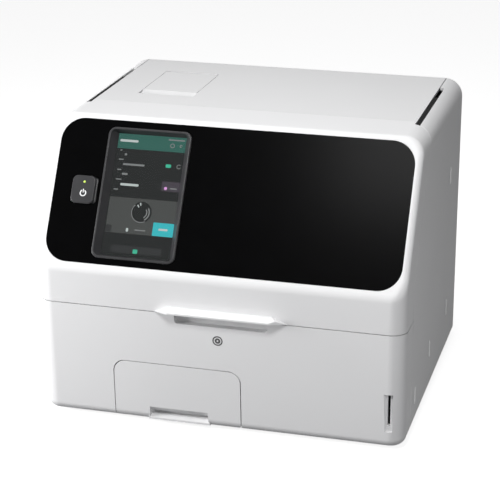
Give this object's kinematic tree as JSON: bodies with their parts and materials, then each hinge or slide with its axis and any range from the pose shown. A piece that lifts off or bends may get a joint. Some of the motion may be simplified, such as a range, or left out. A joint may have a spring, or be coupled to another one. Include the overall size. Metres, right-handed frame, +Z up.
{
  "type": "chemistry analyzer",
  "caption": "Bench-top dry chemistry analyser with a slanted touch display, a lifting front cover, a waste drawer, a card slot and a printer lid.",
  "frame": {"origin": "on the table under the middle of the machine", "axes": "+X to the machine's right as a user sees it, +Y to the rear, +Z up"},
  "size_m": [0.47, 0.41, 0.377],
  "materials": {
    "shell": "off-white moulded plastic with a fine satin grain",
    "black_panel": "glossy black panel, polished",
    "bezel": "grey frame with a glossy edge",
    "screen_glass": "clear cover glass of the touch display",
    "screen": "dark display",
    "button_cap": "glossy black cap",
    "indicator": "yellow-green light",
    "circuit_board": "green board",
    "steel_sheet": "bent sheet steel with a thin grey coat",
    "steel_bright": "ground steel",
    "rubber": "black rubber",
    "grey_plastic": "mid-grey moulded plastic",
    "black_plastic": "black moulded plastic",
    "paper": "white chart paper",
    "aluminium": "machined aluminium",
    "motor_metal": "black motor case",
    "slide_plastic": "white slide frames",
    "tube_plastic": "clear moulded tubes and tips"
  },
  "bodies": {
    "chassis": {"hinge_pins": "steel_bright", "top_deck": "shell", "side_panel_right": "shell", "side_panel_left": "shell", "side_frame_right": "steel_sheet", "side_frame_left": "steel_sheet", "lower_front_cover": "shell", "drawer_runners": "steel_sheet", "card_reader": "black_plastic", "base_tray": "steel_sheet", "work_deck": "grey_plastic", "deck_posts": "steel_bright", "bulkhead": "steel_sheet", "rear_panel": "steel_sheet", "rubber_feet": "rubber", "mains_inlet": "black_plastic", "switch_housing": "black_plastic", "port_block": "black_plastic", "fan_housing": "black_plastic", "power_supply": "steel_sheet", "main_board": "circuit_board", "printer_body": "black_plastic", "paper_roll": "paper", "guide_rods": "steel_bright", "drive_belt": "rubber", "carriage_motor": "motor_metal", "incubator_housing": "aluminium", "incubator_cover": "grey_plastic", "incubator_motor": "motor_metal", "photometer": "black_plastic", "sample_rack": "grey_plastic", "sample_tubes": "tube_plastic", "tip_rack": "grey_plastic", "pipette_tips": "tube_plastic", "slide_cassette": "black_plastic", "slide_stack": "slide_plastic", "rear_screws": "steel_bright"},
    "cover": {"front_cover": "shell", "front_panel": "black_panel", "display_bezel": "bezel", "touch_glass": "screen_glass", "display_module": "screen", "switch_board": "circuit_board", "cover_arms": "steel_sheet", "catch_magnets": "steel_bright"},
    "button": {"power_button": "button_cap", "button_lens": "indicator"},
    "lid": {"printer_lid": "shell"},
    "platen": {"platen_roller": "rubber"},
    "drawer": {"waste_drawer": "shell", "waste_bin": "grey_plastic"},
    "rocker": {"mains_rocker": "black_plastic"},
    "fan": {"fan_rotor": "black_plastic"},
    "carriage": {"sampler_carriage": "aluminium"},
    "head": {"sampler_head": "grey_plastic", "nozzle": "steel_bright"},
    "drive": {"drive_pulley": "aluminium"},
    "idler": {"idler_pulley": "aluminium"},
    "disc": {"incubator_disc": "aluminium", "test_slides": "slide_plastic"}
  },
  "joints": [
    {"name": "cover_hinge", "type": "hinge", "parent": "chassis", "child": "cover", "pos_m": [0, 0.133, 0.352], "axis": [-1, 0, 0], "range_deg": [0, 65]},
    {"name": "button_press", "type": "slide", "parent": "cover", "child": "button", "axis": [0, 0.8601, -0.5101], "range_m": [0, 0.0015], "stiffness_N_per_m": 600, "springref_m": -0.0008},
    {"name": "lid_hinge", "type": "hinge", "parent": "chassis", "child": "lid", "pos_m": [-0.129, 0.135, 0.3736], "axis": [-1, 0, 0], "range_deg": [0, 85]},
    {"name": "platen_turn", "type": "hinge", "parent": "lid", "child": "platen", "pos_m": [-0.129, 0.078, 0.366], "axis": [1, 0, 0], "continuous": true},
    {"name": "drawer_slide", "type": "slide", "parent": "chassis", "child": "drawer", "axis": [0, -1, 0], "range_m": [0, 0.15]},
    {"name": "rocker_tilt", "type": "hinge", "parent": "chassis", "child": "rocker", "pos_m": [-0.135, 0.1975, 0.06], "axis": [-1, 0, 0], "range_deg": [0, 12]},
    {"name": "fan_turn", "type": "hinge", "parent": "chassis", "child": "fan", "pos_m": [0.13, 0.185, 0.285], "axis": [0, 1, 0], "continuous": true},
    {"name": "carriage_slide", "type": "slide", "parent": "chassis", "child": "carriage", "axis": [1, 0, 0], "range_m": [0, 0.228]},
    {"name": "head_slide", "type": "slide", "parent": "carriage", "child": "head", "axis": [0, 0, -1], "range_m": [0, 0.068]},
    {"name": "drive_turn", "type": "hinge", "parent": "chassis", "child": "drive", "pos_m": [0.2, 0.014, 0.302], "axis": [0, 1, 0], "range_deg": [-20, 1400]},
    {"name": "idler_turn", "type": "hinge", "parent": "chassis", "child": "idler", "pos_m": [-0.2, 0.014, 0.302], "axis": [0, 1, 0], "range_deg": [-20, 1400]},
    {"name": "disc_turn", "type": "hinge", "parent": "chassis", "child": "disc", "pos_m": [0.118, -0.083, 0.138], "axis": [0, 0, 1], "continuous": true}
  ],
  "couplings": [
    {"joint": "drive_turn", "follows": "carriage_slide", "rad_per_m": 103.09},
    {"joint": "idler_turn", "follows": "carriage_slide", "rad_per_m": 103.09}
  ]
}
